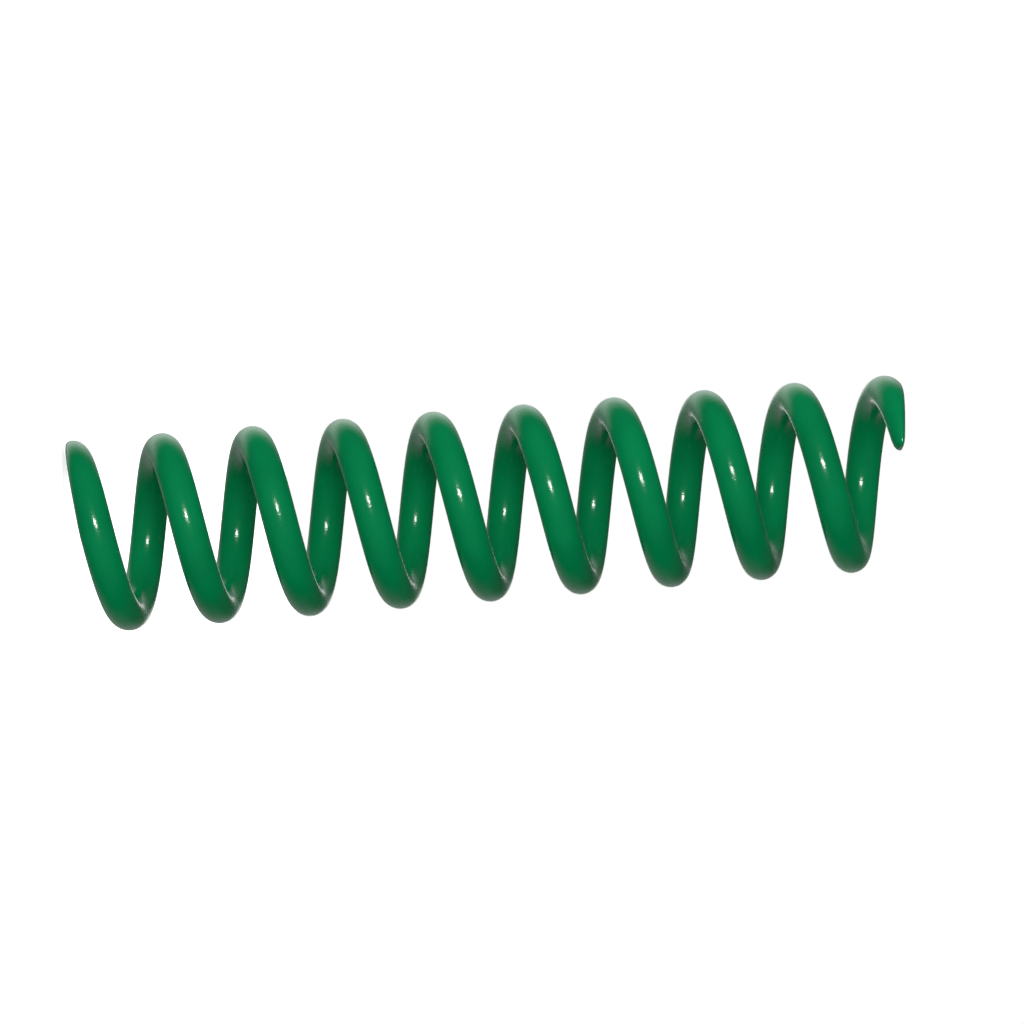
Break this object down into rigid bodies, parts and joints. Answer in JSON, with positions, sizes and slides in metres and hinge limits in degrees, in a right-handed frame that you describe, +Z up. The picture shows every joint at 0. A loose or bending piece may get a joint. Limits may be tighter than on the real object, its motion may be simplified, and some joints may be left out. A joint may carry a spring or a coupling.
{
  "type": "coil spring",
  "caption": "Heavy open-ended helical compression spring of round wire, coated green, with both ends cut flat.",
  "frame": {"origin": "middle of the bottom end, level with the lowest edge of the bottom end face, on the spring axis", "axes": "+Z up along the spring axis from the bottom end to the top end; -X is the side of the first crest of the wire, where both end faces stand out furthest; the wire winds up right-handed"},
  "size_m": [0.079, 0.079, 0.3409],
  "materials": {
    "green_coat": "glossy green powder coat on spring steel"
  },
  "bodies": {
    "bottom_end": {"bottom_end_length": "green_coat"},
    "top_end": {"top_end_length": "green_coat"},
    "length_01": {"wire_length_01": "green_coat"},
    "length_02": {"wire_length_02": "green_coat"},
    "length_03": {"wire_length_03": "green_coat"},
    "length_04": {"wire_length_04": "green_coat"},
    "length_05": {"wire_length_05": "green_coat"},
    "length_06": {"wire_length_06": "green_coat"},
    "length_07": {"wire_length_07": "green_coat"},
    "length_08": {"wire_length_08": "green_coat"},
    "length_09": {"wire_length_09": "green_coat"},
    "length_10": {"wire_length_10": "green_coat"},
    "length_11": {"wire_length_11": "green_coat"},
    "length_12": {"wire_length_12": "green_coat"},
    "length_13": {"wire_length_13": "green_coat"},
    "length_14": {"wire_length_14": "green_coat"},
    "length_15": {"wire_length_15": "green_coat"},
    "length_16": {"wire_length_16": "green_coat"},
    "length_17": {"wire_length_17": "green_coat"},
    "length_18": {"wire_length_18": "green_coat"},
    "length_19": {"wire_length_19": "green_coat"},
    "length_20": {"wire_length_20": "green_coat"},
    "length_21": {"wire_length_21": "green_coat"},
    "length_22": {"wire_length_22": "green_coat"},
    "length_23": {"wire_length_23": "green_coat"},
    "length_24": {"wire_length_24": "green_coat"},
    "length_25": {"wire_length_25": "green_coat"},
    "length_26": {"wire_length_26": "green_coat"}
  },
  "joints": [
    {"name": "compression", "type": "slide", "parent": "bottom_end", "child": "top_end", "axis": [0, 0, -1], "range_m": [0, 0.085], "stiffness_N_per_m": 155000},
    {"name": "wire_twist_01", "type": "hinge", "parent": "bottom_end", "child": "length_01", "pos_m": [-0.01415, -0.02451, 0.01734], "axis": [-0.866, 0.5, 0], "range_deg": [0, 3.32]},
    {"name": "wire_twist_02", "type": "hinge", "parent": "bottom_end", "child": "length_02", "pos_m": [0.0849, 0, 0.02794], "axis": [0, -1, 0], "range_deg": [0, 3.32]},
    {"name": "wire_twist_03", "type": "hinge", "parent": "bottom_end", "child": "length_03", "pos_m": [-0.07075, 0.12254, 0.03854], "axis": [0.866, 0.5, 0], "range_deg": [0, 3.32]},
    {"name": "wire_twist_04", "type": "hinge", "parent": "bottom_end", "child": "length_04", "pos_m": [-0.09905, -0.17155, 0.04914], "axis": [-0.866, 0.5, 0], "range_deg": [0, 3.32]},
    {"name": "wire_twist_05", "type": "hinge", "parent": "bottom_end", "child": "length_05", "pos_m": [0.25469, 0, 0.05974], "axis": [0, -1, 0], "range_deg": [0, 3.32]},
    {"name": "wire_twist_06", "type": "hinge", "parent": "bottom_end", "child": "length_06", "pos_m": [-0.15564, 0.26958, 0.07033], "axis": [0.866, 0.5, 0], "range_deg": [0, 3.32]},
    {"name": "wire_twist_07", "type": "hinge", "parent": "bottom_end", "child": "length_07", "pos_m": [-0.18394, -0.3186, 0.08093], "axis": [-0.866, 0.5, 0], "range_deg": [0, 3.32]},
    {"name": "wire_twist_08", "type": "hinge", "parent": "bottom_end", "child": "length_08", "pos_m": [0.42448, 0, 0.09153], "axis": [0, -1, 0], "range_deg": [0, 3.32]},
    {"name": "wire_twist_09", "type": "hinge", "parent": "bottom_end", "child": "length_09", "pos_m": [-0.24054, 0.41663, 0.10213], "axis": [0.866, 0.5, 0], "range_deg": [0, 3.32]},
    {"name": "wire_twist_10", "type": "hinge", "parent": "bottom_end", "child": "length_10", "pos_m": [-0.26884, -0.46564, 0.11273], "axis": [-0.866, 0.5, 0], "range_deg": [0, 3.32]},
    {"name": "wire_twist_11", "type": "hinge", "parent": "bottom_end", "child": "length_11", "pos_m": [0.59428, 0, 0.12333], "axis": [0, -1, 0], "range_deg": [0, 3.32]},
    {"name": "wire_twist_12", "type": "hinge", "parent": "bottom_end", "child": "length_12", "pos_m": [-0.32544, 0.56367, 0.13393], "axis": [0.866, 0.5, 0], "range_deg": [0, 3.32]},
    {"name": "wire_twist_13", "type": "hinge", "parent": "bottom_end", "child": "length_13", "pos_m": [-0.35374, -0.61269, 0.14453], "axis": [-0.866, 0.5, 0], "range_deg": [0, 3.32]},
    {"name": "wire_twist_14", "type": "hinge", "parent": "bottom_end", "child": "length_14", "pos_m": [0.76407, 0, 0.15513], "axis": [0, -1, 0], "range_deg": [0, 3.32]},
    {"name": "wire_twist_15", "type": "hinge", "parent": "bottom_end", "child": "length_15", "pos_m": [-0.41033, 0.71072, 0.16572], "axis": [0.866, 0.5, 0], "range_deg": [0, 3.32]},
    {"name": "wire_twist_16", "type": "hinge", "parent": "bottom_end", "child": "length_16", "pos_m": [-0.43863, -0.75973, 0.17632], "axis": [-0.866, 0.5, 0], "range_deg": [0, 3.32]},
    {"name": "wire_twist_17", "type": "hinge", "parent": "bottom_end", "child": "length_17", "pos_m": [0.93386, 0, 0.18692], "axis": [0, -1, 0], "range_deg": [0, 3.32]},
    {"name": "wire_twist_18", "type": "hinge", "parent": "bottom_end", "child": "length_18", "pos_m": [-0.49523, 0.85776, 0.19752], "axis": [0.866, 0.5, 0], "range_deg": [0, 3.32]},
    {"name": "wire_twist_19", "type": "hinge", "parent": "bottom_end", "child": "length_19", "pos_m": [-0.52353, -0.90678, 0.20812], "axis": [-0.866, 0.5, 0], "range_deg": [0, 3.32]},
    {"name": "wire_twist_20", "type": "hinge", "parent": "bottom_end", "child": "length_20", "pos_m": [1.10366, 0, 0.21872], "axis": [0, -1, 0], "range_deg": [0, 3.32]},
    {"name": "wire_twist_21", "type": "hinge", "parent": "bottom_end", "child": "length_21", "pos_m": [-0.58013, 1.00481, 0.22932], "axis": [0.866, 0.5, 0], "range_deg": [0, 3.32]},
    {"name": "wire_twist_22", "type": "hinge", "parent": "bottom_end", "child": "length_22", "pos_m": [-0.60843, -1.05383, 0.23991], "axis": [-0.866, 0.5, 0], "range_deg": [0, 3.32]},
    {"name": "wire_twist_23", "type": "hinge", "parent": "bottom_end", "child": "length_23", "pos_m": [1.27345, 0, 0.25051], "axis": [0, -1, 0], "range_deg": [0, 3.32]},
    {"name": "wire_twist_24", "type": "hinge", "parent": "bottom_end", "child": "length_24", "pos_m": [-0.66502, 1.15186, 0.26111], "axis": [0.866, 0.5, 0], "range_deg": [0, 3.32]},
    {"name": "wire_twist_25", "type": "hinge", "parent": "bottom_end", "child": "length_25", "pos_m": [-0.69332, -1.20087, 0.27171], "axis": [-0.866, 0.5, 0], "range_deg": [0, 3.32]},
    {"name": "wire_twist_26", "type": "hinge", "parent": "bottom_end", "child": "length_26", "pos_m": [1.44324, 0, 0.28231], "axis": [0, -1, 0], "range_deg": [0, 3.32]}
  ],
  "couplings": [
    {"joint": "wire_twist_01", "follows": "compression", "rad_per_m": 0.67937},
    {"joint": "wire_twist_02", "follows": "compression", "rad_per_m": 0.67937},
    {"joint": "wire_twist_03", "follows": "compression", "rad_per_m": 0.67937},
    {"joint": "wire_twist_04", "follows": "compression", "rad_per_m": 0.67937},
    {"joint": "wire_twist_05", "follows": "compression", "rad_per_m": 0.67937},
    {"joint": "wire_twist_06", "follows": "compression", "rad_per_m": 0.67937},
    {"joint": "wire_twist_07", "follows": "compression", "rad_per_m": 0.67937},
    {"joint": "wire_twist_08", "follows": "compression", "rad_per_m": 0.67937},
    {"joint": "wire_twist_09", "follows": "compression", "rad_per_m": 0.67937},
    {"joint": "wire_twist_10", "follows": "compression", "rad_per_m": 0.67937},
    {"joint": "wire_twist_11", "follows": "compression", "rad_per_m": 0.67937},
    {"joint": "wire_twist_12", "follows": "compression", "rad_per_m": 0.67937},
    {"joint": "wire_twist_13", "follows": "compression", "rad_per_m": 0.67937},
    {"joint": "wire_twist_14", "follows": "compression", "rad_per_m": 0.67937},
    {"joint": "wire_twist_15", "follows": "compression", "rad_per_m": 0.67937},
    {"joint": "wire_twist_16", "follows": "compression", "rad_per_m": 0.67937},
    {"joint": "wire_twist_17", "follows": "compression", "rad_per_m": 0.67937},
    {"joint": "wire_twist_18", "follows": "compression", "rad_per_m": 0.67937},
    {"joint": "wire_twist_19", "follows": "compression", "rad_per_m": 0.67937},
    {"joint": "wire_twist_20", "follows": "compression", "rad_per_m": 0.67937},
    {"joint": "wire_twist_21", "follows": "compression", "rad_per_m": 0.67937},
    {"joint": "wire_twist_22", "follows": "compression", "rad_per_m": 0.67937},
    {"joint": "wire_twist_23", "follows": "compression", "rad_per_m": 0.67937},
    {"joint": "wire_twist_24", "follows": "compression", "rad_per_m": 0.67937},
    {"joint": "wire_twist_25", "follows": "compression", "rad_per_m": 0.67937},
    {"joint": "wire_twist_26", "follows": "compression", "rad_per_m": 0.67937}
  ]
}
